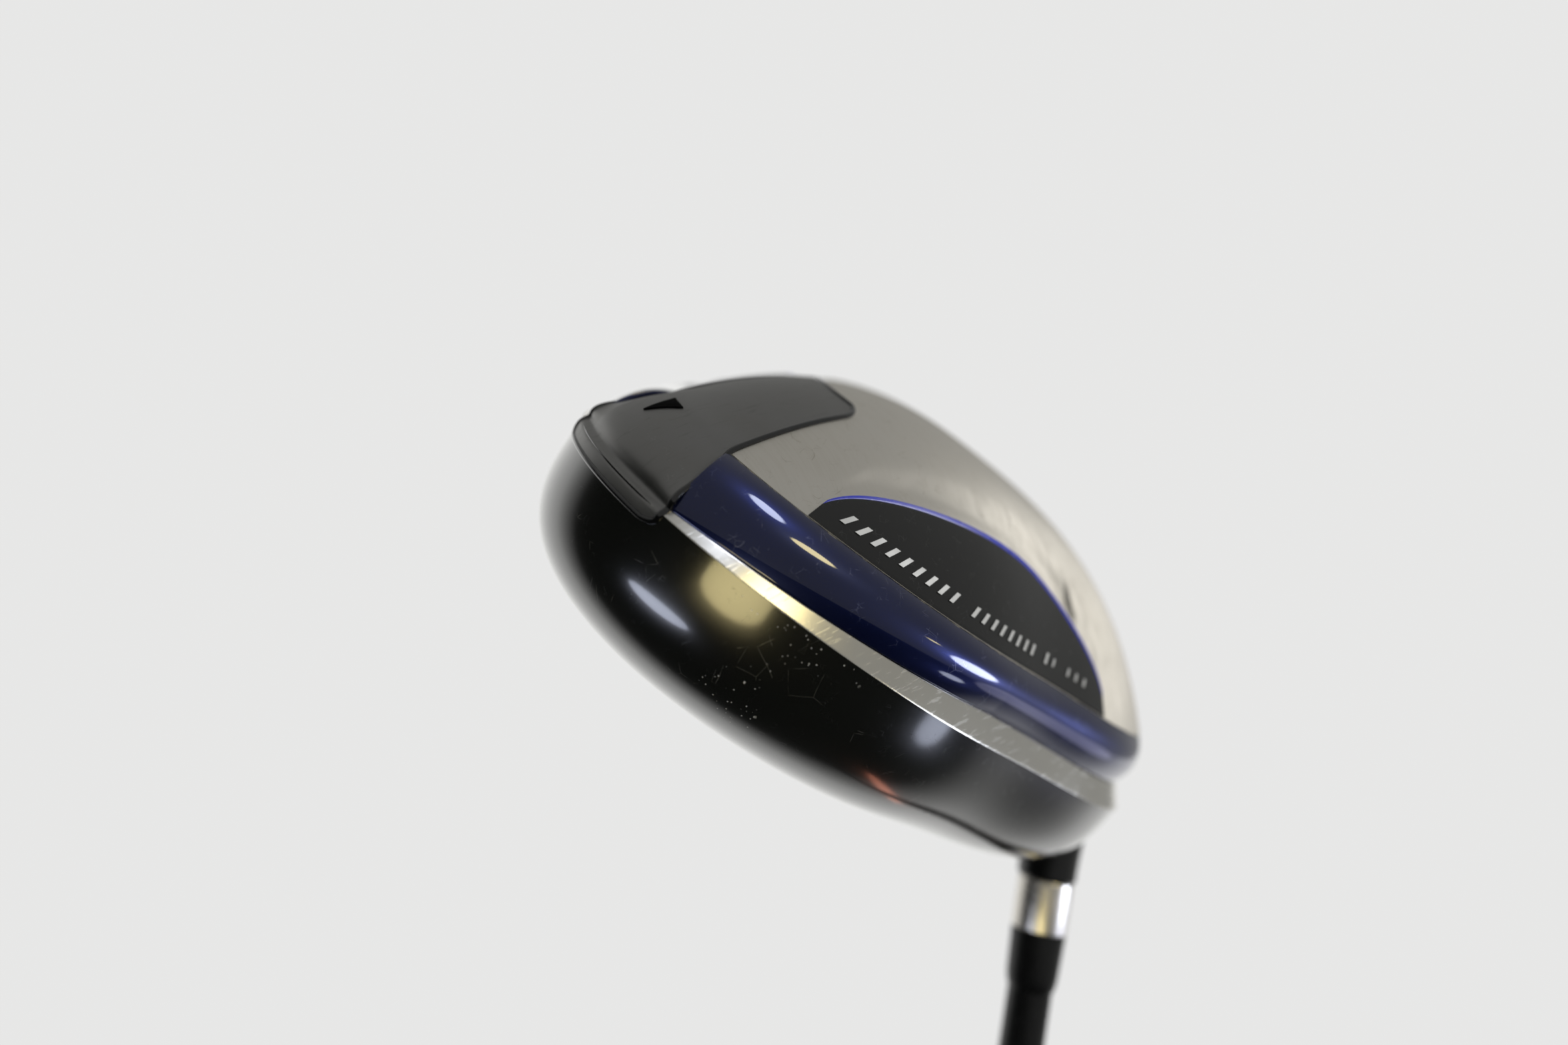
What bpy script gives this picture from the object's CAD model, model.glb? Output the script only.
import math

import bpy
import numpy as np
from mathutils import Matrix, Vector


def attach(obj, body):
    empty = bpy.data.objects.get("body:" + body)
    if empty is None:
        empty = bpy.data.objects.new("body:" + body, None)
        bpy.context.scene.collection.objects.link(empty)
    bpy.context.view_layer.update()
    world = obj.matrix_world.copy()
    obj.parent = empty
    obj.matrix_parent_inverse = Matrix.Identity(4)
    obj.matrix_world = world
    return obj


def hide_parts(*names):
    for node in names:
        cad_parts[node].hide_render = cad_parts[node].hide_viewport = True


# Visual model of the golf driver, in metres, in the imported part's frame: the shaft's axis meets the
# ground at the origin, +Z up, +X towards the heel, +Y towards the tail. Lengths below are millimetres.

MM = 0.001

# ---- head outline and shells, as in the CAD source ----
LIE = math.radians(59.0)
LOFT = math.radians(10.5)
CLUB_LENGTH = 1143.0
PLAN_CENTRE = (-25.0, 38.0)
PLAN_RADII = (56.0, 53.8, 60.0, 67.0, 58.5, 53.0, 60.5, 69.5, 73.0, 73.0, 72.5, 70.5)
HEAD_CORE = (-25.0, 38.0, 32.0)   # a point well inside the head
TAIL_X = -33.0
TAIL_ANGLE = 97.0
RIM_HEIGHT = 37.2
RIM_FALL = 0.040
RIDGE_HEIGHT = 23.4
RIDGE_FALL = 0.015
RIDGE_INSET = (6.0, 7.5, 11.0, 9.5, 5.5, 5.0)
CROWN_APEX = (-25.0, 27.0, 62.4)
CROWN_POWER = 3.4
SOLE_LOW = (-24.0, 30.0)
SOLE_POWER = 2.6
TRIM_INSET = 2.4
TRIM_DROP = 3.0
GROOVE_INSET = 1.0
GROOVE_DROP = 0.9
TRIM_START = 12.0
TRIM_GROWTH = 60.0
BAND_BULGE = 2.6
BAND_HIGH = 2.5
BAND_LOW = 4.5
BAND_SAG = 2.0             # roundness of the painted band, an even arc between groove and crease
FACE_FRONT = -17.0
FACE_MIDDLE = (-34.0, 30.0)
FACE_RADIUS = 305.0
FACE_FRAME = 0.13
PANEL_START = -9.0
PANEL_SPAN = 82.0
PANEL_DEPTH = 0.262
PANEL_POWER = 0.45
STRIPE_WIDTH = 0.9
MARK_FIRST = 68.0          # plan angle of the first dash
MARK_STEP = 2.9
MARK_COUNT = 25
MARK_GAPS = (9, 18, 21)
COVER_HALF = 14.0
COVER_HALF_SOLE = 10.8
COVER_REACH = 0.64
COVER_RISE = 0.05
COVER_PROUD = 0.25         # the cover's stand above the skin
COVER_BARREL = 1.3         # bulge over the side band
COVER_VALLEY = 0.8         # hollow at the crown's edge
POCKET_X = -35.5
POCKET_HALF = 1.9
POCKET_REACH = 0.36        # share of the band's height
TRIM_STOP = 4.0
TRIM_ROUND = 2.0

# ---- stations and radii along the shaft's axis, as in the CAD source ----
NECK_BASE = 47.0
NECK_BASE_RADIUS = 8.4
NECK_RADIUS = 5.75
NECK_DOME = 16.0           # height of the dome under the neck
RING_START = 67.3
RING_RADIUS = 5.35
HOSEL_TOP = 77.3
FERRULE_TOP = 88.5
FERRULE_RADIUS = 5.3
FERRULE_SHOULDER = 4.95
SHAFT_TIP_RADIUS = 4.3
TIP_PARALLEL_END = 190.0
BUTT_RADIUS = 7.6
BUTT = 1138.0
GRIP_START = 873.0
GRIP_MOUTH_RADIUS = 9.6
GRIP_BUTT_RADIUS = 13.4
GRIP_RING_STEP = 6.0
GRIP_RING_DEPTH = 0.45
VENT_RADIUS = 1.75
DECAL_START = 780.0
DECAL_LENGTH = 60.0

# ---- viewpoint: where the camera stands and how it is turned ----
CAMERA_PLACE = (59.8, 215.1, 4.4)
CAMERA_BACK = (0.4889, 0.8606, -0.1426)
CAMERA_RIGHT = (0.6469, -0.4674, -0.6025)
CAMERA_UP = (-0.5852, 0.2023, -0.7852)
CAMERA_LENS = 23.64
CAMERA_STOP = 4.6
BACKDROP = (0.80, 0.80, 0.795)
ROOM_DARK = (0.018, 0.019, 0.018, 1)   # behind the camera
ROOM_PALE = (1.0, 1.0, 0.98, 1)        # ahead of it
ROOM_SHARES = (0.56, 0.74)             # where dark ends and pale begins, from behind to ahead
FLOOR_Z = -3.0                         # metres
FLOOR_REACH = 60.0

LIT = {
    "gloss": (
        "heel_side_band", "toe_side_band", "heel_edge_trim", "toe_edge_trim", "crown_shell",
        "heel_painted_corner", "toe_painted_corner", "ring",
    ),
    "soft": ("sole_shell", "tail_cover", "striking_face"),
    "print": ("heel_marks", "toe_marks", "heel_stripe", "toe_stripe"),
}

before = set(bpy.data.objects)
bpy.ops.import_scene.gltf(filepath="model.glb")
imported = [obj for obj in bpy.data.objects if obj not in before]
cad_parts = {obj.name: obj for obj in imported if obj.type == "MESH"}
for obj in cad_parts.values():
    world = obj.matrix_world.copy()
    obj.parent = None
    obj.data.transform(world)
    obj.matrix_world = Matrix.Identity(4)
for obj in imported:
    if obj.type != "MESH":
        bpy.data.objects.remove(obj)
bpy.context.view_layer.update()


# ------------------------------------------------------------------ head surfaces
# Each gives x, y, z in millimetres from plan angles and a level from 0 to 1.

def ring_value(values, angle):
    """Smooth closed curve through values spaced evenly round the ring."""
    count = len(values)
    total = 0.0
    for index, value in enumerate(values):
        half = (angle - 2 * np.pi * index / count) / 2
        half = np.where(np.abs(np.sin(half)) < 1e-7, 1e-7, half)
        total = total + value * np.sin(count * half) / (count * np.tan(half))
    return total


def rim(angle):
    radius = ring_value(PLAN_RADII, angle)
    x = PLAN_CENTRE[0] + radius * np.cos(angle)
    y = PLAN_CENTRE[1] + radius * np.sin(angle)
    return x, y, RIM_HEIGHT - RIM_FALL * y


def side_point(angle, inset, drop):
    x, y, z = rim(angle)
    return x - inset * np.cos(angle), y - inset * np.sin(angle), z - drop


def groove(angle):
    """Inset and drop of the groove under the trim."""
    tail_angle = np.radians(TAIL_ANGLE)
    from_tail = np.degrees(np.abs(np.mod(angle - tail_angle + np.pi, 2 * np.pi) - np.pi))
    share = np.clip((from_tail - TRIM_START) / TRIM_GROWTH, 0.01, 1.0) ** 0.8
    return TRIM_INSET * share + GROOVE_INSET, TRIM_DROP * share + GROOVE_DROP


def ridge(angle):
    """Inset and drop of the crease between the side band and the sole."""
    y, z = rim(angle)[1:]
    inset = ring_value(RIDGE_INSET, angle)
    return inset, z - (RIDGE_HEIGHT - RIDGE_FALL * (y - inset * np.sin(angle)))


def crown(angle, level):
    x, y, z = rim(angle)
    s = np.sin(level * np.pi / 2)
    c = np.cos(level * np.pi / 2)
    norm = (s**CROWN_POWER + c**CROWN_POWER) ** (1 / CROWN_POWER)
    reach = s / norm
    return (
        CROWN_APEX[0] + reach * (x - CROWN_APEX[0]),
        CROWN_APEX[1] + reach * (y - CROWN_APEX[1]),
        z + (CROWN_APEX[2] - z) * c / norm,
    )


def trim(angle, level):
    inset, drop = groove(angle)
    return side_point(angle, inset * level, drop * level)


def band(angle, level):
    groove_in, groove_drop = groove(angle)
    ridge_in, ridge_drop = ridge(angle)
    insets = (groove_in, groove_in - BAND_BULGE, ridge_in - BAND_BULGE, ridge_in)
    drops = (groove_drop, groove_drop + BAND_HIGH, ridge_drop - BAND_LOW, ridge_drop)
    weights = (
        (1 - level) ** 3,
        3 * level * (1 - level) ** 2,
        3 * level**2 * (1 - level),
        level**3,
    )
    inset = sum(w * i for w, i in zip(weights, insets))
    drop = sum(w * d for w, d in zip(weights, drops))
    return side_point(angle, inset, drop)


def band_skin(angle, level):
    """The side band as an even arc, for its painted outside."""
    inset_a, drop_a = groove(angle)
    inset_b, drop_b = ridge(angle)
    chord = np.hypot(inset_b - inset_a, drop_b - drop_a)
    sag = 4 * BAND_SAG * level * (1 - level)
    inset = inset_a + level * (inset_b - inset_a) - sag * (drop_b - drop_a) / chord
    drop = drop_a + level * (drop_b - drop_a) + sag * (inset_b - inset_a) / chord
    return side_point(angle, inset, drop)


def sole(angle, level):
    x, y, z = side_point(angle, *ridge(angle))
    return (
        SOLE_LOW[0] + level * (x - SOLE_LOW[0]),
        SOLE_LOW[1] + level * (y - SOLE_LOW[1]),
        z * level**SOLE_POWER,
    )


def face_y(x, z):
    """How far forward the striking face is at a height and a distance from the shaft."""
    middle_x, middle_z = FACE_MIDDLE
    cy = FACE_FRONT + middle_z * math.tan(LOFT) + FACE_RADIUS * math.cos(LOFT)
    cz = middle_z - FACE_RADIUS * math.sin(LOFT)
    return cy - np.sqrt(FACE_RADIUS**2 - (x - middle_x) ** 2 - (z - cz) ** 2)


def bisect(test, low, high):
    for _ in range(40):
        middle = (low + high) / 2
        good = test(middle)
        low = np.where(good, middle, low)
        high = np.where(good, high, middle)
    return (low + high) / 2


def behind_face(point):
    x, y, z = point
    return y >= face_y(x, z)


def front_level(surface, angle):
    """Highest level of a crown or sole section that is still behind the face."""
    ones = np.ones_like(angle)
    limit = bisect(lambda level: behind_face(surface(angle, level)), 0 * ones, ones)
    return np.where(behind_face(surface(angle, ones)), 1.0, limit)


def face_angle(surface, level, side):
    """Plan angle where a side surface meets the face, at the heel (side 1) or the toe (side -1)."""
    inner = np.radians(10.0 if side > 0 else 170.0)
    outer = np.radians(-65.0 if side > 0 else 245.0)
    ones = np.ones_like(level)
    return bisect(lambda angle: behind_face(surface(angle, level)), inner * ones, outer * ones)


def angle_at_x(surface, level, x):
    ones = np.ones_like(level)
    low = np.radians(40.0) * ones
    high = np.radians(150.0) * ones
    return bisect(lambda angle: surface(angle, level)[0] > x, low, high)


def panel_edge(angle, side):
    """Level of a crescent's inner edge on the sole."""
    turned = np.degrees(angle if side > 0 else 2 * np.radians(TAIL_ANGLE) - angle)
    share = np.clip((turned - PANEL_START) / PANEL_SPAN, 0, 1)
    return 1 - PANEL_DEPTH * np.sin(np.pi * share) ** PANEL_POWER


# ------------------------------------------------------------------ meshes

def grid_normals(points, closed):
    """Unit normals of a grid, by differences along its two directions."""
    if closed:
        along = np.roll(points, -1, 0) - np.roll(points, 1, 0)
    else:
        along = np.gradient(points, axis=0)
    across = np.gradient(points, axis=1)
    normal = np.cross(along, across)
    length = np.linalg.norm(normal, axis=-1, keepdims=True)
    return normal / np.maximum(length, 1e-9)


def outward(points, normals):
    """1 if a grid's normals point away from the head's core, -1 if they point at it."""
    return 1.0 if np.sum(normals * (points - np.array(HEAD_CORE))) > 0 else -1.0


def lift(points, height, closed=False):
    """The grid moved outwards by a height, which may vary over the grid."""
    normals = grid_normals(points, closed)
    return points + normals * outward(points, normals) * np.asarray(height)[..., None]


def add_mesh(name, vertices, faces, uvs, mat):
    mesh = bpy.data.meshes.new(name)
    mesh.from_pydata((np.asarray(vertices) * MM).tolist(), [], faces)
    layer = mesh.uv_layers.new(name="UVMap")
    loops = np.zeros(len(mesh.loops), np.int32)
    mesh.loops.foreach_get("vertex_index", loops)
    layer.data.foreach_set("uv", np.asarray(uvs, np.float32)[loops].ravel())
    mesh.polygons.foreach_set("use_smooth", [True] * len(mesh.polygons))
    mesh.materials.append(mat)
    piece = bpy.data.objects.new(name, mesh)
    bpy.context.scene.collection.objects.link(piece)
    return piece


def grid_faces(rows, columns, closed, flip):
    """Quads of a grid whose vertices run row by row."""
    faces = []
    for i in range(rows if closed else rows - 1):
        for j in range(columns - 1):
            a = i * columns + j
            b = ((i + 1) % rows) * columns + j
            quad = (a, b, b + 1, a + 1)
            faces.append(quad[::-1] if flip else quad)
    return faces


def grid_uvs(rows, columns):
    u, v = np.meshgrid(np.linspace(0, 1, rows), np.linspace(0, 1, columns), indexing="ij")
    return np.stack([u, v], -1).reshape(-1, 2)


def grid_piece(name, points, mat, thick=1.0, bevel=0.15, closed=False, keep=None):
    """Shell with rounded edges from a grid of points, thickened inwards. keep picks quads by row, column."""
    rows, columns = points.shape[:2]
    flip = outward(points, grid_normals(points, closed)) < 0
    faces = grid_faces(rows, columns, closed, flip)
    uvs = grid_uvs(rows, columns)
    vertices = points.reshape(-1, 3)
    if keep is not None:
        faces = np.array(faces)[keep.ravel()]
        used, faces = np.unique(faces, return_inverse=True)
        vertices, uvs, faces = vertices[used], uvs[used], faces.reshape(-1, 4).tolist()
    return finish_shell(add_mesh(name, vertices, faces, uvs, mat), thick, bevel)


def finish_shell(piece, thick, bevel):
    """Merges doubled points, then applies a wall thickness and small edge roundings."""
    weld = piece.modifiers.new("weld", "WELD")
    weld.merge_threshold = 1e-6
    if thick:
        wall = piece.modifiers.new("wall", "SOLIDIFY")
        wall.thickness = thick * MM
        wall.offset = -1.0
    if bevel:
        edge = piece.modifiers.new("edge", "BEVEL")
        edge.width = bevel * MM
        edge.segments = 2
        edge.limit_method = "ANGLE"
        edge.angle_limit = math.radians(55)
        edge.use_clamp_overlap = True
    graph = bpy.context.evaluated_depsgraph_get()
    made = bpy.data.meshes.new_from_object(piece.evaluated_get(graph))
    old = piece.data
    piece.modifiers.clear()
    piece.data = made
    bpy.data.meshes.remove(old)
    made.name = piece.name
    made.set_sharp_from_angle(angle=math.radians(40))
    return piece


def on_shaft(radius, station, turn):
    """A point at a distance from the shaft's axis; turn 0 faces the toe's side of the ground."""
    ax, az = math.cos(LIE), math.sin(LIE)
    side = radius * np.cos(turn)
    return np.stack([ax * station + az * side, radius * np.sin(turn), az * station - ax * side], -1)


def turned_piece(name, profile, mat, steps=96):
    """Solid of revolution about the shaft's axis from (radius, station) points."""
    radius = np.array([p[0] for p in profile], float)
    station = np.array([p[1] for p in profile], float)
    turn = np.linspace(0, 2 * np.pi, steps, endpoint=False)[:, None]
    points = on_shaft(radius + 0 * turn, station + 0 * turn, turn)
    along = np.concatenate([[0], np.cumsum(np.hypot(np.diff(radius), np.diff(station)))])
    u = turn / (2 * np.pi) + 0 * radius
    v = along + 0 * turn
    uvs = np.stack([u, v / max(along[-1], 1e-9)], -1).reshape(-1, 2)
    faces = grid_faces(steps, len(radius), True, False)
    piece = add_mesh(name, points.reshape(-1, 3), faces, uvs, mat)
    return finish_shell(piece, 0, 0)


def rounded(corners, size=0.3, steps=3):
    """Profile corners cut into short arcs; the first and last point stay."""
    out = [corners[0]]
    for before, corner, after in zip(corners, corners[1:], corners[2:]):
        before, corner, after = (np.array(p, float) for p in (before, corner, after))
        reach_in = min(size, np.linalg.norm(before - corner) * 0.45)
        reach_out = min(size, np.linalg.norm(after - corner) * 0.45)
        start = corner + (before - corner) / np.linalg.norm(before - corner) * reach_in
        end = corner + (after - corner) / np.linalg.norm(after - corner) * reach_out
        for t in np.linspace(0, 1, steps + 1):
            out.append(tuple((1 - t) ** 2 * start + 2 * t * (1 - t) * corner + t**2 * end))
    out.append(corners[-1])
    return out


def bead_piece(name, path, normals, mat, width, height):
    """Closed rounded bead along a path that lies on a surface."""
    way = np.roll(path, -1, 0) - np.roll(path, 1, 0)
    way /= np.linalg.norm(way, axis=-1, keepdims=True)
    side = np.cross(normals, way)
    side /= np.linalg.norm(side, axis=-1, keepdims=True)
    turn = np.linspace(0, 2 * np.pi, 13)
    rings = (
        path[:, None]
        + side[:, None] * (np.cos(turn) * width)[None, :, None]
        + normals[:, None] * (np.sin(turn) * height)[None, :, None]
    )
    rows, columns = rings.shape[:2]
    faces = grid_faces(rows, columns, True, False)
    bead = add_mesh(name, rings.reshape(-1, 3), faces, grid_uvs(rows, columns), mat)
    return finish_shell(bead, 0, 0)


# ------------------------------------------------------------------ materials

class Finish:
    """Node material built up in layers. Patterns are laid out in millimetres."""

    def __init__(self, name, colour, metal=0.0, rough=0.3, coat=0.0, coat_rough=0.05):
        self.mat = bpy.data.materials.new(name)
        self.mat.use_nodes = True
        self.nodes = self.mat.node_tree.nodes
        self.links = self.mat.node_tree.links
        self.shader = self.nodes["Principled BSDF"]
        self.shader.inputs["Metallic"].default_value = metal
        self.shader.inputs["Coat Weight"].default_value = coat
        self.shader.inputs["Coat Roughness"].default_value = coat_rough
        self.colour = self.rgb(colour)
        self.rough = self.value(rough)
        self.height = None
        self.place = self.nodes.new("ShaderNodeTexCoord")
        self.millimetres = self.mapping((1000, 1000, 1000))

    def rgb(self, colour):
        node = self.nodes.new("ShaderNodeRGB")
        node.outputs[0].default_value = (*colour, 1)
        return node.outputs[0]

    def value(self, number):
        node = self.nodes.new("ShaderNodeValue")
        node.outputs[0].default_value = number
        return node.outputs[0]

    def add(self, kind, values, vector=None):
        """New node with input values set and, if given, a vector linked in."""
        node = self.nodes.new(kind)
        for name, value in values.items():
            node.inputs[name].default_value = value
        if vector:
            self.links.new(vector, node.inputs["Vector"])
        return node

    def mapping(self, scale, turn=(0, 0, 0)):
        values = {"Scale": scale, "Rotation": turn}
        return self.add("ShaderNodeMapping", values, self.place.outputs["Object"]).outputs[0]

    def noise(self, scale, detail=2.0, vector=None):
        values = {"Scale": scale, "Detail": detail}
        return self.add("ShaderNodeTexNoise", values, vector or self.millimetres).outputs[0]

    def cells(self, scale, feature="F1", vector=None):
        node = self.add("ShaderNodeTexVoronoi", {"Scale": scale}, vector or self.millimetres)
        node.feature = feature
        return node.outputs["Distance"]

    def span(self, source, low, high, out_low=0.0, out_high=1.0):
        """Maps a value from one span to another, held at the ends."""
        values = {"From Min": low, "From Max": high, "To Min": out_low, "To Max": out_high}
        node = self.add("ShaderNodeMapRange", values)
        self.links.new(source, node.inputs["Value"])
        return node.outputs[0]

    def math(self, kind, a, b):
        node = self.nodes.new("ShaderNodeMath")
        node.operation = kind
        for socket, item in zip(node.inputs, (a, b)):
            if isinstance(item, (int, float)):
                socket.default_value = item
            else:
                self.links.new(item, socket)
        return node.outputs[0]

    def mix(self, colour, mask):
        """Lays a colour over what is there."""
        node = self.nodes.new("ShaderNodeMix")
        node.data_type = "RGBA"
        self.links.new(mask, node.inputs[0])
        self.links.new(self.colour, node.inputs[6])
        if isinstance(colour, tuple):
            node.inputs[7].default_value = (*colour, 1)
        else:
            self.links.new(colour, node.inputs[7])
        self.colour = node.outputs[2]

    def roughen(self, mask, amount):
        self.rough = self.math("ADD", self.rough, self.math("MULTIPLY", mask, amount))

    def raise_by(self, mask, amount):
        """Adds to the bump height, in millimetres."""
        step = self.math("MULTIPLY", mask, amount)
        self.height = step if self.height is None else self.math("ADD", self.height, step)

    def cloud(self, scale=0.05, amount=0.06, tint=None, tint_share=0.3):
        """Slow unevenness of gloss and, with a tint, of colour."""
        patch = self.noise(scale, 3.0)
        self.roughen(self.span(patch, 0.3, 0.7, -0.5, 0.5), amount)
        if tint:
            self.mix(tint, self.span(patch, 0.35, 0.75, 0.0, tint_share))

    def grain(self, scale=2.0, height=0.004, amount=0.03):
        """Fine texture of the surface itself."""
        fine = self.noise(scale, 3.0)
        self.raise_by(fine, height)
        self.roughen(fine, amount)

    def hairlines(self, scale=0.22, width=0.012, colour=None, amount=0.12, height=0.004, cover=0.5):
        """Curved fine scratches where a slow mask allows them."""
        bent = self.nodes.new("ShaderNodeVectorMath")
        bent.operation = "ADD"
        swirl = self.add("ShaderNodeTexNoise", {"Scale": scale * 0.6}, self.millimetres)
        push = self.nodes.new("ShaderNodeVectorMath")
        push.operation = "SCALE"
        push.inputs["Scale"].default_value = 3.0
        self.links.new(swirl.outputs["Color"], push.inputs[0])
        self.links.new(self.millimetres, bent.inputs[0])
        self.links.new(push.outputs[0], bent.inputs[1])
        lines = self.span(self.cells(scale, "DISTANCE_TO_EDGE", bent.outputs[0]), width, 0.0)
        second = self.span(self.cells(scale * 2.3, "DISTANCE_TO_EDGE", bent.outputs[0]), width * 1.5, 0.0)
        both = self.math("MAXIMUM", lines, second)
        mask = self.span(self.noise(scale * 1.7, 4.0), 1 - cover, 1.05 - cover)
        both = self.math("MULTIPLY", both, mask)
        self.roughen(both, amount)
        self.raise_by(both, -height)
        if colour:
            self.mix(colour, self.math("MULTIPLY", both, 0.5))

    def strokes(self, turn, scale=(0.05, 2.5, 0.05), colour=None, amount=0.15, height=0.003, cover=0.3):
        """Straight brushed or rubbed marks, long along one direction."""
        vector = self.mapping(tuple(1000 * s for s in scale), turn)
        lines = self.span(self.noise(1.0, 3.0, vector), 1 - cover, 1.08 - cover)
        self.roughen(lines, amount)
        self.raise_by(lines, height)
        if colour:
            self.mix(colour, self.math("MULTIPLY", lines, 0.5))

    def chips(self, scale=0.25, size=0.09, colour=(0.6, 0.6, 0.58), clusters=0.55, depth=0.03):
        """Small flakes out of the finish, in clusters."""
        ragged = self.math("ADD", self.cells(scale), self.span(self.noise(3.0, 2.0), 0, 1, 0, 0.12))
        spots = self.span(ragged, size + 0.03, size)
        near = self.span(self.noise(0.045, 2.0), clusters, clusters + 0.04)
        mask = self.math("MULTIPLY", spots, near)
        self.mix(colour, mask)
        self.roughen(mask, 0.35)
        self.raise_by(mask, -depth)

    def done(self, bump=1.0):
        self.links.new(self.colour, self.shader.inputs["Base Color"])
        self.links.new(self.math("MINIMUM", self.rough, 1.0), self.shader.inputs["Roughness"])
        if self.height is not None:
            node = self.nodes.new("ShaderNodeBump")
            node.inputs["Strength"].default_value = bump
            node.inputs["Distance"].default_value = MM
            self.links.new(self.height, node.inputs["Height"])
            self.links.new(node.outputs[0], self.shader.inputs["Normal"])
        return self.mat


def crown_paint():
    f = Finish("crown_black", (0.0035, 0.004, 0.0035), rough=0.20, coat=0.8, coat_rough=0.09)
    f.cloud(0.06, 0.06)
    f.grain(1.2, 0.001, 0.02)
    f.hairlines(0.30, 0.010, None, 0.10, 0.003, 0.42)
    f.hairlines(0.09, 0.003, (0.2, 0.2, 0.18), 0.15, 0.003, 0.40)
    f.chips(0.30, 0.12, (0.42, 0.43, 0.42), 0.545, 0.02)
    f.chips(1.1, 0.16, (0.46, 0.47, 0.48), 0.55, 0.01)
    return f.done()


def trim_metal():
    f = Finish("trim_silver", (0.66, 0.64, 0.58), metal=1.0, rough=0.22)
    f.cloud(0.08, 0.10, (0.46, 0.44, 0.38), 0.5)
    f.strokes((0, 0, 0.6), (2.2, 0.12, 0.3), None, 0.10, 0.0015, 0.42)
    f.strokes((0.4, 0, -0.9), (3.0, 0.1, 0.4), None, 0.08, 0.0015, 0.38)
    f.chips(0.4, 0.06, (0.2, 0.19, 0.17), 0.56, 0.02)
    return f.done()


def band_paint():
    f = Finish("band_blue", (0.001, 0.006, 0.062), metal=0.8, rough=0.29, coat=1.0, coat_rough=0.035)
    f.cloud(0.04, 0.06, (0.0008, 0.003, 0.03), 0.5)
    f.grain(14.0, 0.0015, 0.06)
    f.hairlines(0.2, 0.006, (0.2, 0.22, 0.35), 0.1, 0.004, 0.42)
    f.chips(0.3, 0.06, (0.55, 0.54, 0.5), 0.58, 0.03)
    edge = f.nodes.new("ShaderNodeSeparateXYZ")
    f.links.new(f.place.outputs["UV"], edge.inputs[0])
    worn = f.math("ADD", edge.outputs[1], f.span(f.noise(0.5, 4.0), 0.3, 0.8, -0.02, 0.035))
    mask = f.span(worn, 0.985, 1.0)
    f.mix((0.52, 0.48, 0.38), mask)
    return f.done()


def sole_metal():
    f = Finish("sole_silver", (0.78, 0.75, 0.69), metal=1.0, rough=0.43)
    f.cloud(0.03, 0.08, (0.66, 0.62, 0.54), 0.3)
    f.strokes((0, 0, 0.25), (0.06, 1.8, 0.3), None, 0.10, 0.003, 0.5)
    f.grain(3.0, 0.002, 0.05)
    f.hairlines(0.25, 0.01, (0.5, 0.46, 0.38), 0.15, 0.006, 0.45)
    f.chips(0.2, 0.07, (0.16, 0.14, 0.12), 0.62, 0.03)
    return f.done()


def panel_paint():
    f = Finish("panel_black", (0.006, 0.006, 0.006), rough=0.34, coat=0.4, coat_rough=0.16)
    f.cloud(0.07, 0.08)
    f.grain(2.5, 0.002, 0.04)
    f.hairlines(0.3, 0.008, (0.2, 0.2, 0.2), 0.15, 0.004, 0.42)
    f.chips(0.5, 0.08, (0.42, 0.40, 0.36), 0.56, 0.03)
    return f.done()


def stripe_paint():
    f = Finish("stripe_blue", (0.03, 0.045, 0.52), rough=0.28, coat=0.3)
    f.cloud(0.2, 0.1, (0.02, 0.02, 0.3), 0.4)
    f.chips(0.8, 0.08, (0.5, 0.5, 0.55), 0.6, 0.02)
    return f.done()


def cover_paint():
    f = Finish("gunmetal", (0.235, 0.232, 0.225), metal=0.9, rough=0.44, coat=0.08, coat_rough=0.25)
    f.cloud(0.08, 0.08, (0.30, 0.30, 0.305), 0.5)
    f.grain(5.0, 0.003, 0.08)
    f.strokes((0, 0, 0.9), (1.5, 0.1, 0.3), None, 0.10, 0.002, 0.4)
    f.hairlines(0.25, 0.008, (0.4, 0.4, 0.38), 0.12, 0.004, 0.4)
    f.chips(0.4, 0.06, (0.45, 0.43, 0.38), 0.6, 0.02)
    return f.done()


def plain_black(name, rough, coat):
    f = Finish(name, (0.008, 0.008, 0.009), rough=rough, coat=coat, coat_rough=0.06)
    f.cloud(0.1, 0.08)
    f.grain(2.0, 0.002, 0.04)
    f.hairlines(0.3, 0.01, (0.15, 0.15, 0.15), 0.12, 0.004, 0.45)
    f.chips(0.35, 0.05, (0.4, 0.4, 0.4), 0.6, 0.02)
    return f.done()


def bare_metal(name, colour, rough=0.3, lines=True):
    f = Finish(name, colour, metal=1.0, rough=rough)
    dark = tuple(0.6 * c for c in colour)
    f.cloud(0.12, 0.12, dark, 0.35)
    if lines:
        turn = (0, math.pi / 2 - LIE, 0)
        f.strokes(turn, (0.05, 0.05, 6.0), None, 0.12, 0.004, 0.5)
    f.grain(2.5, 0.003, 0.06)
    f.hairlines(0.4, 0.01, tuple(1.2 * c for c in dark), 0.1, 0.004, 0.45)
    return f.done()


def matte(name, colour, rough=0.6, scale=1.5, height=0.02):
    f = Finish(name, colour, rough=rough)
    f.cloud(0.1, 0.12, tuple(0.6 * c for c in colour), 0.5)
    f.grain(scale, height, 0.1)
    f.chips(0.3, 0.07, tuple(min(1.0, 1.8 * c + 0.03) for c in colour), 0.55, 0.02)
    return f.done()


def pocket_black():
    f = Finish("pocket_black", (0.002, 0.002, 0.002), rough=0.8)
    f.shader.inputs["Specular IOR Level"].default_value = 0.05
    f.cloud(0.3, 0.1)
    f.grain(3.0, 0.01, 0.05)
    return f.done()


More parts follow.
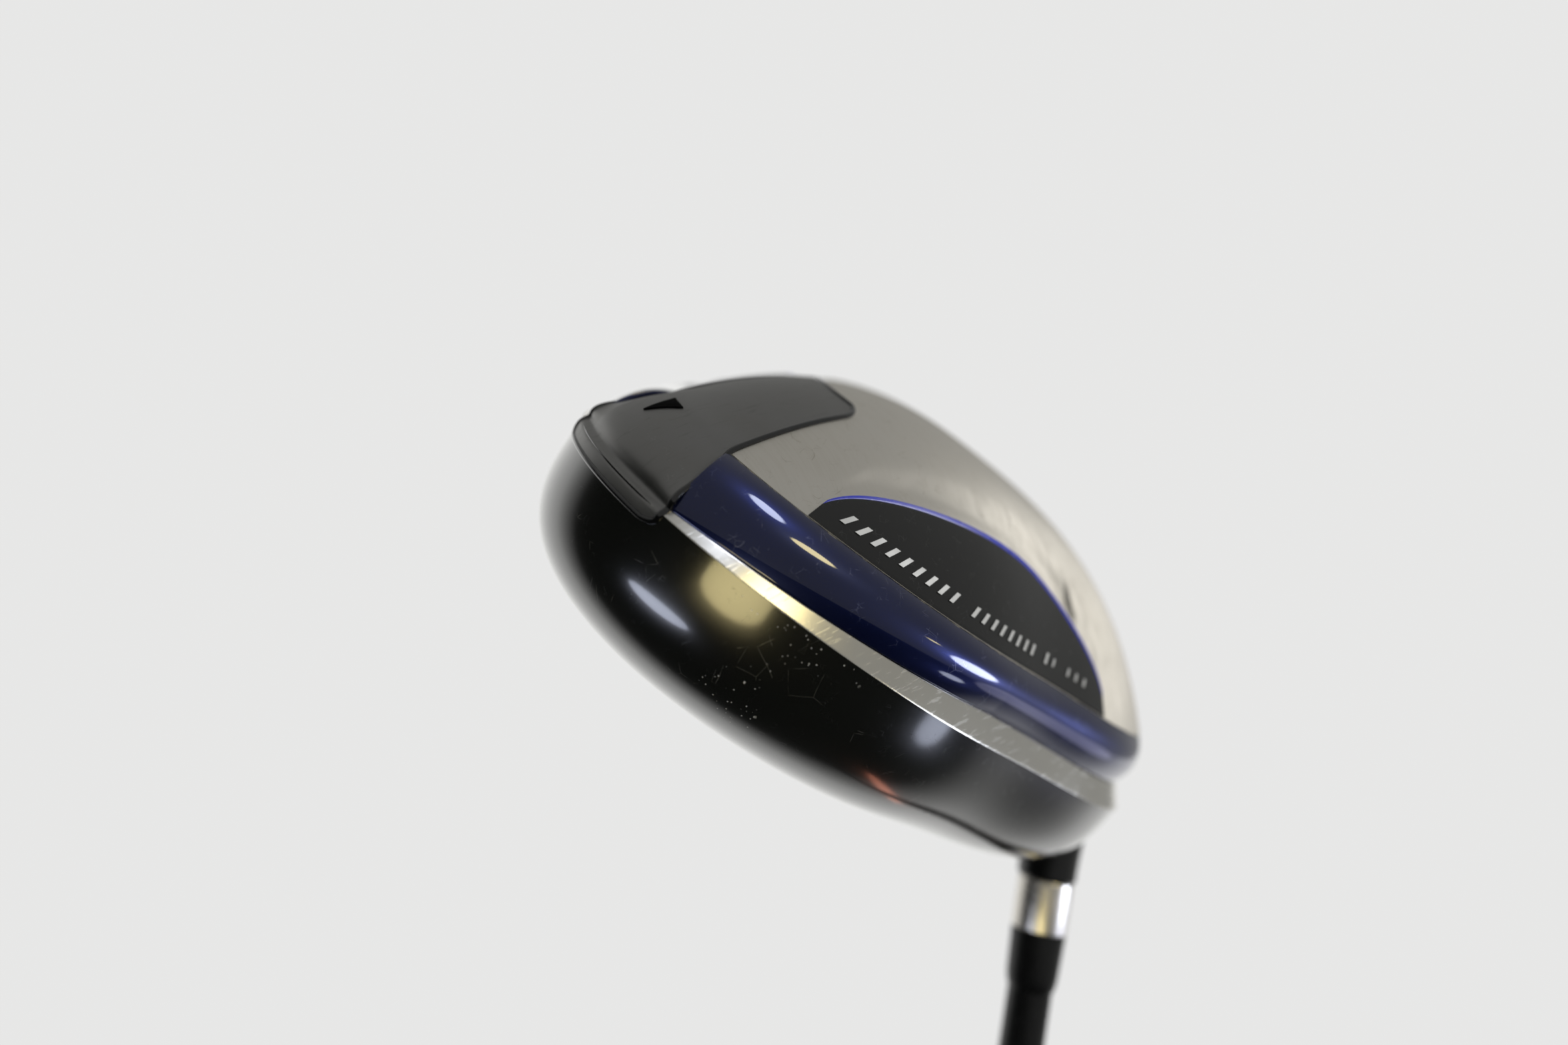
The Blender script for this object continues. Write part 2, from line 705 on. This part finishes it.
def mark_paint():
    f = Finish("mark_white", (0.62, 0.62, 0.60), rough=0.4)
    f.cloud(0.3, 0.1, (0.4, 0.4, 0.39), 0.5)
    f.chips(1.2, 0.10, (0.03, 0.03, 0.03), 0.58, 0.01)
    return f.done()


# ------------------------------------------------------------------ head pieces

def join(piece, node):
    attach(piece, "root")
    if node:
        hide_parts(node)


def polar(surface, count=400, rows=130, low=0.02):
    """Whole crown or sole as rings from its middle to its edge, pressed flat where it meets the face."""
    angle = np.linspace(0, 2 * np.pi, count, endpoint=False)[:, None]
    share = np.linspace(0, 1, rows)[None] ** 0.85
    level = low + (1 - low) * share + 0 * angle
    x, y, z = surface(angle + 0 * level, level)
    front = face_y(x, z)
    points = np.stack((x, np.maximum(y, front), z), -1)
    behind = y > front
    behind = behind | np.roll(behind, -1, 0)
    return angle + 0 * level, level, points, behind[:, :-1] | behind[:, 1:]


def dome_piece(name, points, keep, mat):
    """Crown or sole shell from its rings, closed in the middle by one more ring pulled to a point."""
    middle = points[:, :1].mean(0, keepdims=True)
    points = np.concatenate([middle + 0 * points[:, :1], points], axis=1)
    keep = np.concatenate([keep[:, :1] | True, keep], axis=1)
    return grid_piece(name, points, mat, 1.4, 0.0, closed=True, keep=keep)


def build_crown(mat):
    points, keep = polar(crown)[2:]
    join(dome_piece("crown_shell", points, keep, mat), "crown")


def build_sole(mat):
    angle, level, points, keep = polar(sole)
    depth = 0 * level
    for side in (1, -1):
        edge = panel_edge(angle, side)
        near = np.exp(-(((level - edge + 0.085) / 0.055) ** 2))
        middle = PANEL_START + PANEL_SPAN / 2 if side > 0 else 2 * TAIL_ANGLE - PANEL_START - PANEL_SPAN / 2
        away = np.mod(np.degrees(angle) - middle + 180, 360) - 180
        within = np.clip((PANEL_SPAN / 2 + 8 - np.abs(away)) / 16, 0, 1)
        depth = depth + 0.75 * near * within
    points = lift(points, -depth, closed=True)
    join(dome_piece("sole_shell", points, keep, mat), "sole_plate")


def strip_points(surface, start, end, level, columns=260):
    share = np.linspace(0, 1, columns)[:, None]
    angle = start + share * (end - start)
    return np.stack(surface(angle, level + 0 * angle), -1)


def build_side(side, trim_mat, band_mat, paint):
    """Side band and trim. The trim stops short of the face, and the crown's paint carries on."""
    name = "heel" if side > 0 else "toe"
    tail_x = TAIL_X + side * COVER_HALF * 0.97
    level = np.linspace(0, 1, 40)[None]
    start = face_angle(band, level, side)
    end = angle_at_x(band, level, TAIL_X + side * cover_half(band, level) * 0.98)
    points = strip_points(band_skin, start, end, level)
    join(grid_piece(name + "_side_band", points, band_mat, 1.2, 0.18), name + "_band")
    level = np.linspace(0, 1, 12)[None]
    start = face_angle(trim, level, side)
    stop = start + side * np.radians(TRIM_STOP + TRIM_ROUND * (2 * level - 1) ** 2)
    points = strip_points(trim, stop, angle_at_x(trim, level, tail_x + 0 * level), level)
    join(grid_piece(name + "_edge_trim", points, trim_mat, 1.2, 0.18), name + "_trim")
    corner = lift(strip_points(trim, start, stop + side * np.radians(2.0), level, 24), -0.06 + 0 * level)
    join(grid_piece(name + "_painted_corner", corner, paint, 1.0, 0.0), None)


def build_panel(side, paint, stripe, marks):
    name = "heel" if side > 0 else "toe"
    ends = np.array([PANEL_START + 0.4, PANEL_START + PANEL_SPAN - 0.4])
    if side < 0:
        ends = 2 * TAIL_ANGLE - ends
    angle = np.radians(np.linspace(ends[0], ends[1], 240))[:, None]
    reach = np.hypot(*(np.array(sole(angle, 1.0)[:2]) - np.array(SOLE_LOW)[:, None, None]))
    edge = panel_edge(angle, side)
    share = np.linspace(0, 1, 34)[None]
    level = edge + share * (0.9985 - edge)
    points = np.stack(sole(angle + 0 * level, level), -1)
    join(grid_piece(name + "_crescent", lift(points, 0.10 + 0 * level), paint, 0.6, 0.08),
         name + "_panel")
    share = np.linspace(0, 1, 5)[None]
    level = edge - (STRIPE_WIDTH * (1 - share) + 0.02) / reach
    points = np.stack(sole(angle + 0 * level, level), -1)
    join(grid_piece(name + "_stripe", lift(points, 0.14 + 0 * level), stripe, 0.6, 0.08),
         name + "_pinstripe")
    build_marks(name, side, marks)


def build_marks(name, side, mat):
    """A row of plain slanted dashes along the crease, with gaps, smaller near the face."""
    vertices, faces, uvs = [], [], []
    centres = [MARK_FIRST - MARK_STEP * i for i in range(MARK_COUNT) if i not in MARK_GAPS]
    for centre in centres:
        size = 1.0 if centre > 12 else 0.72
        base = len(vertices)
        for du in np.linspace(0, 1, 3):
            for dv in np.linspace(0, 1, 5):
                turned = centre + (du * 1.0 - 0.5 + (dv - 0.5) * 1.0) * size
                level = 0.952 + (dv - 0.5) * 0.028 * size
                angle = np.radians(turned if side > 0 else 2 * TAIL_ANGLE - turned)
                vertices.append(sole(angle, level))
                uvs.append((du, dv))
        for i in range(2):
            for j in range(4):
                a = base + i * 5 + j
                quad = (a, a + 5, a + 6, a + 1)
                faces.append(quad if side < 0 else quad[::-1])
    points = np.array(vertices, float)
    core = np.array([-25.0, 38.0, 60.0])
    way = points - core
    points = points + 0.24 * way / np.linalg.norm(way, axis=-1, keepdims=True)
    join(add_mesh(name + "_marks", points, faces, uvs, mat), None)


def cover_levels():
    return (
        (crown, np.linspace(1 - COVER_RISE, 0.995, 14)),
        (trim, np.linspace(0.1, 0.9, 4)),
        (band, np.linspace(0.03, 0.98, 40)),
        (sole, np.linspace(0.995, COVER_REACH, 60)),
    )


def cover_half(surface, level):
    if surface is sole:
        near_end = np.clip((COVER_REACH + 0.06 - level) / 0.06, 0, 1)
        return COVER_HALF_SOLE - 2.2 * near_end**2.5
    if surface is band:
        return COVER_HALF - (COVER_HALF - COVER_HALF_SOLE) * level**2
    if surface is crown:
        near_end = np.clip((1 - COVER_RISE + 0.03 - level) / 0.03, 0, 1)
        return COVER_HALF - 2.0 * near_end**2.5
    return COVER_HALF + 0 * level


def cover_relief(points, share):
    """How far the cover stands out of the head: a barrel over the band and a valley at the crown's edge."""
    y, z = points[..., 1], points[..., 2]
    fade = np.clip((1 - np.abs(share)) / 0.3, 0, 1) ** 0.7
    barrel = np.exp(-(((z - 25.0) / 4.0) ** 2)) * (y > 85)
    valley = np.exp(-(((z - 31.0) / 2.0) ** 2)) * (y > 85)
    return COVER_PROUD + fade * (COVER_BARREL * barrel - COVER_VALLEY * valley)


def build_pocket(mat):
    """Small dark triangular pocket on the tail's crease."""
    up = np.linspace(0, 0.97, 12)[None]
    across = np.linspace(-1, 1, 12)[:, None]
    level = 0.97 - POCKET_REACH * up + 0 * across
    x = POCKET_X - 1.6 * up + POCKET_HALF * (1 - up) * across
    points = np.stack(band(angle_at_x(band, level, x), level), -1)
    height = cover_relief(points, 0 * x) + 0.25
    join(grid_piece("cover_pocket", lift(points, height), mat, thick=0.3, bevel=0.05), None)


def build_cover(paint, bead):
    share = np.linspace(-1, 1, 90)[:, None]
    grids = []
    for surface, level in cover_levels():
        x = TAIL_X + share * cover_half(surface, level)
        angle = angle_at_x(surface, level + 0 * x, x)
        grids.append(np.stack(surface(angle, level + 0 * angle), -1))
    points = np.concatenate(grids, axis=1)
    for _ in range(2):
        points[:, 1:-1] = (points[:, :-2] + 2 * points[:, 1:-1] + points[:, 2:]) / 4
    normals = grid_normals(points, False)
    normals *= outward(points, normals)
    cover = points + normals * cover_relief(points, share)[..., None]
    join(grid_piece("tail_cover", cover, paint, thick=1.3, bevel=0.25), "rear_cover")
    build_pocket(pocket_black())
    path = np.concatenate([points[0], points[1:, -1], points[-1, -2::-1], points[-2:0:-1, 0]])
    ways = np.concatenate([normals[0], normals[1:, -1], normals[-1, -2::-1], normals[-2:0:-1, 0]])
    for _ in range(3):
        path = (np.roll(path, 1, 0) + 2 * path + np.roll(path, -1, 0)) / 4
        ways = (np.roll(ways, 1, 0) + 2 * ways + np.roll(ways, -1, 0)) / 4
    ways /= np.linalg.norm(ways, axis=-1, keepdims=True)
    join(bead_piece("cover_bead", path, ways, bead, 0.5, 0.55), "rear_gasket")


def face_patch(rows, columns):
    """Grid over the whole striking face, from the heel end to the toe end."""
    share = np.linspace(0, 1, rows)
    curves = {}
    for name, surface in (("top", crown), ("bottom", sole)):
        heel = face_angle(surface, np.array(1.0), 1)
        toe = face_angle(surface, np.array(1.0), -1) - 2 * np.pi
        angle = heel + share * (toe - heel)
        curves[name] = np.stack(surface(angle, front_level(surface, angle)), -1)
    ends = []
    level = np.linspace(0, 1, columns)
    for side, index in ((1, 0), (-1, -1)):
        curve = np.stack(band(face_angle(band, level, side), level), -1)
        first, last = curves["top"][index], curves["bottom"][index]
        shift = (1 - level)[:, None] * (first - curve[0]) + level[:, None] * (last - curve[-1])
        ends.append(curve + shift)
    s = share[:, None, None]
    v = level[None, :, None]
    top, bottom = curves["top"], curves["bottom"]
    patch = (
        (1 - v) * top[:, None]
        + v * bottom[:, None]
        + (1 - s) * ends[0][None]
        + s * ends[1][None]
        - (1 - s) * ((1 - v) * top[0] + v * bottom[0])
        - s * ((1 - v) * top[-1] + v * bottom[-1])
    )
    patch[..., 1] = face_y(patch[..., 0], patch[..., 2])
    return patch


def face_outline(steps=240):
    """Closed line where the head's skin meets the face, sorted round the face's middle."""
    level = np.linspace(0, 1, 60)
    found = []
    outer = 0.6 + 0.4 * level
    for side in (1, -1):
        for surface, part in ((crown, outer), (trim, level), (band, level), (sole, outer)):
            found.append(np.stack(surface(face_angle(surface, part, side), part), -1))
    angle = np.linspace(np.radians(200.0), np.radians(340.0), 200)
    for surface in (crown, sole):
        found.append(np.stack(surface(angle, front_level(surface, angle)), -1))
    points = np.concatenate(found)
    points = points[np.abs(points[:, 1] - face_y(points[:, 0], points[:, 2])) < 0.05]
    x, z = points[:, 0] - FACE_MIDDLE[0], points[:, 2] - FACE_MIDDLE[1]
    turn = np.arctan2(z, x)
    order = np.argsort(turn)
    around = np.linspace(-np.pi, np.pi, steps, endpoint=False)
    reach = np.interp(around, turn[order], np.hypot(x, z)[order], period=2 * np.pi)
    return FACE_MIDDLE[0] + reach * np.cos(around), FACE_MIDDLE[1] + reach * np.sin(around)


def build_face_edge(mat):
    """Ring under the frame that closes the face out to the skin all round."""
    x, z = face_outline()
    share = np.linspace(0.72, 1.0, 12)[None]
    x = FACE_MIDDLE[0] + share * (x[:, None] - FACE_MIDDLE[0])
    z = FACE_MIDDLE[1] + share * (z[:, None] - FACE_MIDDLE[1])
    ring = np.stack((x, face_y(x, z) - 0.04, z), -1)
    join(grid_piece("face_edge", ring, mat, 1.4, 0.0, closed=True), None)


def build_face(plate_mat, frame_mat):
    build_face_edge(frame_mat)
    rows, columns = 221, 161
    patch = face_patch(rows, columns)
    patch[..., 1] -= 0.12
    s = (np.arange(rows - 1) + 0.5)[:, None] / (rows - 1)
    v = (np.arange(columns - 1) + 0.5)[None] / (columns - 1)
    inside = (np.abs(s - 0.5) < 0.5 - FACE_FRAME) & (np.abs(v - 0.5) < 0.5 - FACE_FRAME)
    join(grid_piece("face_surround", patch, frame_mat, 1.6, 0.2, keep=~inside), "face_frame")
    x, z = patch[..., 0] - FACE_MIDDLE[0], patch[..., 2] - FACE_MIDDLE[1]
    line = np.exp(-(((np.mod(z + 2.1, 4.2) - 2.1) / 0.32) ** 2))
    zone = (np.abs(x) > 9) & (np.abs(x) < 30) & (np.abs(z) < 14)
    scored = patch.copy()
    scored[..., 1] += 0.28 * line * zone
    join(grid_piece("striking_face", scored, plate_mat, 2.4, 0.2, keep=inside), "face_plate")


# ------------------------------------------------------------------ hosel, shaft and grip

def shaft_radius(station):
    share = max(0.0, (station - TIP_PARALLEL_END) / (BUTT - TIP_PARALLEL_END))
    return SHAFT_TIP_RADIUS + share * (BUTT_RADIUS - SHAFT_TIP_RADIUS)


def build_neck(mat):
    """Neck between ring and head; a dome closes its foot inside the heel."""
    top = RING_START - 0.1
    profile = [(4.4, top), (NECK_RADIUS - 0.35, top), (NECK_RADIUS, top - 0.4)]
    for share in np.linspace(0.96, 0, 24):
        radius = NECK_RADIUS + (NECK_BASE_RADIUS - NECK_RADIUS) * (1 - share) ** 2
        profile.append((radius, NECK_BASE + share * (RING_START - NECK_BASE)))
    for share in np.linspace(0.1, 1.0, 10) * math.pi / 2:
        radius = NECK_BASE_RADIUS * math.cos(share) + 0.01
        profile.append((radius, NECK_BASE - NECK_DOME * math.sin(share)))
    join(turned_piece("neck", profile[::-1], mat), "hosel_neck")


def build_ring(mat):
    corners = [(4.5, RING_START), (RING_RADIUS, RING_START), (RING_RADIUS, HOSEL_TOP), (4.5, HOSEL_TOP)]
    join(turned_piece("ring", rounded(corners, 0.35), mat), "hosel_ring")


def build_ferrule(mat):
    shoulder = FERRULE_TOP - 2.4
    corners = [
        (4.3, HOSEL_TOP + 0.06),
        (FERRULE_RADIUS, HOSEL_TOP + 0.06),
        (FERRULE_SHOULDER, shoulder),
        (FERRULE_SHOULDER - 0.2, shoulder + 1.3),
        (SHAFT_TIP_RADIUS + 0.1, FERRULE_TOP),
        (SHAFT_TIP_RADIUS - 0.1, FERRULE_TOP),
    ]
    join(turned_piece("ferrule_sleeve", rounded(corners, 0.5, 4), mat), "ferrule")


def build_shaft(mat, decal):
    profile = [(3.0, HOSEL_TOP - 6), (SHAFT_TIP_RADIUS - 0.01, HOSEL_TOP - 6)]
    for station in np.linspace(FERRULE_TOP + 0.1, BUTT - 0.5, 60):
        profile.append((shaft_radius(station) - 0.01, station))
    profile.append((6.0, BUTT - 0.4))
    join(turned_piece("shaft_tube", profile, mat), "shaft")
    end = DECAL_START + DECAL_LENGTH
    corners = [(shaft_radius(DECAL_START) - 0.1, DECAL_START)]
    for station in (DECAL_START, *np.linspace(DECAL_START + 6, end - 6, 8), end):
        corners.append((shaft_radius(station) + 0.12, station))
    corners.append((shaft_radius(end) - 0.1, end))
    join(turned_piece("shaft_decal", corners, decal), "shaft_band")


def build_grip(mat):
    """Rubber grip with shallow traction rings, a plain lip at the mouth and a vented cap."""
    profile = [
        (shaft_radius(GRIP_START) + 0.42, GRIP_START),
        (GRIP_MOUTH_RADIUS - 0.5, GRIP_START),
        (GRIP_MOUTH_RADIUS, GRIP_START + 0.6),
        (GRIP_MOUTH_RADIUS, GRIP_START + 6.0),
    ]
    start, end = GRIP_START + 8.0, CLUB_LENGTH - 14.0
    for station in np.arange(start, end, 0.75):
        share = (station - GRIP_START) / (CLUB_LENGTH - GRIP_START)
        radius = GRIP_MOUTH_RADIUS + share * (GRIP_BUTT_RADIUS - GRIP_MOUTH_RADIUS)
        wave = 0.5 + 0.5 * math.cos(2 * math.pi * (station - start) / GRIP_RING_STEP)
        profile.append((radius - GRIP_RING_DEPTH * wave**6, station))
    profile.append((GRIP_BUTT_RADIUS - 0.3, CLUB_LENGTH - 13.0))
    profile.append((GRIP_BUTT_RADIUS, CLUB_LENGTH - 12.0))
    cap = [
        (GRIP_BUTT_RADIUS, CLUB_LENGTH - 6),
        (GRIP_BUTT_RADIUS, CLUB_LENGTH),
        (VENT_RADIUS, CLUB_LENGTH),
        (VENT_RADIUS, BUTT),
    ]
    profile += rounded(cap, 1.4, 5)[1:]
    join(turned_piece("grip_sleeve", profile, mat, steps=72), "grip")


# ------------------------------------------------------------------ stage

def reflection(surface, angle, level):
    """Point on a surface and the direction in which it mirrors the camera."""
    step = 1e-3
    here = Vector(surface(angle, level))
    du = Vector(surface(angle + step, level)) - here
    dv = Vector(surface(angle, level + step)) - here
    normal = du.cross(dv).normalized()
    if normal.dot(here - Vector(HEAD_CORE)) < 0:
        normal.negate()
    look = (here - Vector(CAMERA_PLACE)).normalized()
    return here * MM, look - 2 * look.dot(normal) * normal


def lamp(name, place, target, power, size, colour):
    data = bpy.data.lights.new(name, "AREA")
    data.shape = "ELLIPSE"
    data.size, data.size_y = size
    data.energy = power
    data.color = colour
    item = bpy.data.objects.new(name, data)
    bpy.context.scene.collection.objects.link(item)
    item.location = place
    item.rotation_mode = "QUATERNION"
    item.rotation_quaternion = (Vector(place) - Vector(target)).to_track_quat("Z", "Y")
    return item


def lit_pieces(kind):
    """The pieces that a kind of lamp lights: the gloss sides, the satin sole, or the printed marks."""
    group = bpy.data.collections.get("lit_" + kind)
    if group is None:
        group = bpy.data.collections.new("lit_" + kind)
        for name in LIT[kind]:
            group.objects.link(bpy.data.objects[name])
    return group


def glint(name, surface, degrees, level, away, power, size, colour, kind="gloss"):
    """Area light placed so that the camera sees it mirrored at a point of the head."""
    here, way = reflection(surface, math.radians(degrees), level)
    item = lamp(name, here + way * away, here, power, size, colour)
    item.light_linking.receiver_collection = lit_pieces(kind)
    return item


def for_camera(tree, lit, seen):
    """Shader that shows one surface to the camera and another to every other ray."""
    path = tree.nodes.new("ShaderNodeLightPath")
    mix = tree.nodes.new("ShaderNodeMixShader")
    tree.links.new(path.outputs["Is Camera Ray"], mix.inputs[0])
    tree.links.new(lit, mix.inputs[1])
    tree.links.new(seen, mix.inputs[2])
    return mix.outputs[0]


def build_world():
    """Pale all round behind the club and darker behind the camera, where a photographer stands."""
    world = bpy.data.worlds.new("studio")
    bpy.context.scene.world = world
    world.use_nodes = True
    nodes, links = world.node_tree.nodes, world.node_tree.links
    out = nodes["World Output"]
    seen = nodes["Background"]
    seen.inputs[0].default_value = (*BACKDROP, 1)
    place = nodes.new("ShaderNodeTexCoord")
    dot = nodes.new("ShaderNodeVectorMath")
    dot.operation = "DOT_PRODUCT"
    dot.inputs[1].default_value = [-c for c in CAMERA_BACK]
    links.new(place.outputs["Generated"], dot.inputs[0])
    ramp = nodes.new("ShaderNodeValToRGB")
    for stop, share, colour in zip(ramp.color_ramp.elements, ROOM_SHARES, (ROOM_DARK, ROOM_PALE)):
        stop.position = share
        stop.color = colour
    span = nodes.new("ShaderNodeMapRange")
    span.inputs["From Min"].default_value = -1.0
    links.new(dot.outputs["Value"], span.inputs["Value"])
    links.new(span.outputs[0], ramp.inputs[0])
    room = nodes.new("ShaderNodeBackground")
    links.new(ramp.outputs[0], room.inputs[0])
    links.new(for_camera(world.node_tree, room.outputs[0], seen.outputs[0]), out.inputs["Surface"])


def build_floor():
    """Plain pale floor far below the club, so that it hides no lamp, in the backdrop's tone."""
    mesh = bpy.data.meshes.new("floor")
    corners = [(x * FLOOR_REACH, y * FLOOR_REACH, FLOOR_Z) for x, y in ((-1, -1), (1, -1), (1, 1), (-1, 1))]
    mesh.from_pydata(corners, [], [(0, 1, 2, 3)])
    floor = bpy.data.objects.new("floor", mesh)
    bpy.context.scene.collection.objects.link(floor)
    mat = bpy.data.materials.new("floor_pale")
    mat.use_nodes = True
    nodes, links = mat.node_tree.nodes, mat.node_tree.links
    paint = nodes["Principled BSDF"]
    paint.inputs["Base Color"].default_value = (*BACKDROP, 1)
    paint.inputs["Roughness"].default_value = 0.9
    glow = nodes.new("ShaderNodeEmission")
    glow.inputs[0].default_value = (*BACKDROP, 1)
    seen = for_camera(mat.node_tree, paint.outputs[0], glow.outputs[0])
    links.new(seen, nodes["Material Output"].inputs["Surface"])
    mesh.materials.append(mat)


def build_lights():
    """Coloured soft lamps: name, surface, plan angle, level, metres away, watts, size, colour."""
    cool = (0.76, 0.82, 1.0)
    warm = (1.0, 0.85, 0.42)
    brown = (0.9, 0.32, 0.2)
    glint("cool_left", band_skin, 76.5, 0.66, 0.9, 1.6, (0.27, 0.17), cool)
    glint("warm_lamp", band_skin, 68.5, 0.56, 1.0, 1.9, (0.26, 0.18), warm)
    glint("cool_window", band_skin, 36.0, 0.50, 0.9, 3.6, (0.34, 0.24), cool)
    glint("warm_spark", band_skin, 46.0, 0.52, 1.0, 0.12, (0.09, 0.04), warm)
    glint("heel_card", band_skin, -3.0, 0.40, 0.9, 0.34, (0.40, 0.26), (0.74, 0.74, 1.0))
    glint("crown_streak", crown, 79.0, 0.785, 0.8, 1.3, (0.46, 0.13), cool)
    glint("crown_warm", crown, 72.5, 0.955, 0.8, 1.3, (0.40, 0.15), warm)
    glint("crown_heel", crown, 37.5, 0.975, 0.8, 0.20, (0.14, 0.10), cool)
    glint("sole_soft", sole, 5.0, 0.80, 1.2, 2.6, (1.1, 0.7), (1.0, 0.98, 0.94), "soft")
    glint("print_soft", sole, 55.0, 0.95, 0.9, 4.5, (0.5, 0.4), (1.0, 1.0, 1.0), "print")
    glint("crown_brown", crown, 36.0, 0.70, 0.9, 0.20, (0.40, 0.06), brown)


def build_camera():
    data = bpy.data.cameras.new("camera")
    camera = bpy.data.objects.new("camera", data)
    bpy.context.scene.collection.objects.link(camera)
    turn = Matrix((CAMERA_RIGHT, CAMERA_UP, CAMERA_BACK)).transposed()
    camera.matrix_world = Matrix.Translation(Vector(CAMERA_PLACE) * MM) @ turn.to_4x4()
    data.lens = CAMERA_LENS
    data.sensor_width = 36.0
    data.clip_start = 0.01
    data.clip_end = 100.0
    data.dof.use_dof = True
    data.dof.aperture_fstop = CAMERA_STOP
    sharp = bpy.data.objects.new("sharp_point", None)
    bpy.context.scene.collection.objects.link(sharp)
    sharp.location = Vector(band(math.radians(45.0), 0.5)) * MM
    data.dof.focus_object = sharp
    bpy.context.scene.camera = camera


# ------------------------------------------------------------------ build

def build_hidden(mats):
    """CAD pieces inside the club keep their own mesh and get a finish."""
    finishes = {
        "heel_skirt_frame": "titanium", "toe_skirt_frame": "titanium", "weight_boss": "titanium",
        "sound_ribs": "titanium", "hosel_tube": "titanium", "bore_plug": "titanium",
        "rear_weight": "tungsten", "tip_weight_pin": "tungsten", "hot_melt_pad": "melt",
        "hosel_epoxy": "epoxy", "grip_tape": "tape",
    }
    for node, kind in finishes.items():
        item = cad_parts[node]
        item.data.materials.clear()
        item.data.materials.append(mats[kind])


def build():
    black_gloss = plain_black("neck_black", 0.30, 0.2)
    sole_mat, band_mat, trim_mat = sole_metal(), band_paint(), trim_metal()
    crown_mat = crown_paint()
    build_crown(crown_mat)
    build_sole(sole_mat)
    build_side(1, trim_mat, band_mat, crown_mat)
    build_side(-1, trim_mat, band_mat, crown_mat)
    panel, stripe, marks = panel_paint(), stripe_paint(), mark_paint()
    build_panel(1, panel, stripe, marks)
    build_panel(-1, panel, stripe, marks)
    build_cover(cover_paint(), plain_black("gasket_black", 0.1, 0.6))
    face_metal = bare_metal("face_metal", (0.42, 0.42, 0.43), 0.35, False)
    build_face(face_metal, plain_black("frame_dark", 0.35, 0.2))
    build_neck(black_gloss)
    build_ring(bare_metal("ring_steel", (0.66, 0.63, 0.58), 0.26))
    build_ferrule(plain_black("ferrule_black", 0.42, 0.05))
    build_shaft(plain_black("shaft_black", 0.42, 0.05), bare_metal("shaft_decal", (0.35, 0.36, 0.38), 0.25))
    build_grip(matte("grip_rubber", (0.018, 0.018, 0.018), 0.62, 2.2, 0.05))
    build_hidden({
        "titanium": bare_metal("titanium_raw", (0.40, 0.39, 0.37), 0.45, False),
        "tungsten": bare_metal("tungsten", (0.25, 0.25, 0.26), 0.5, False),
        "melt": matte("hot_melt", (0.70, 0.60, 0.36), 0.5, 0.8, 0.08),
        "epoxy": matte("epoxy", (0.55, 0.50, 0.32), 0.35, 1.5, 0.02),
        "tape": matte("grip_tape", (0.72, 0.69, 0.58), 0.8, 4.0, 0.03),
    })
    build_world()
    build_floor()
    build_lights()
    build_camera()


build()
bpy.context.scene.view_settings.view_transform = "Standard"
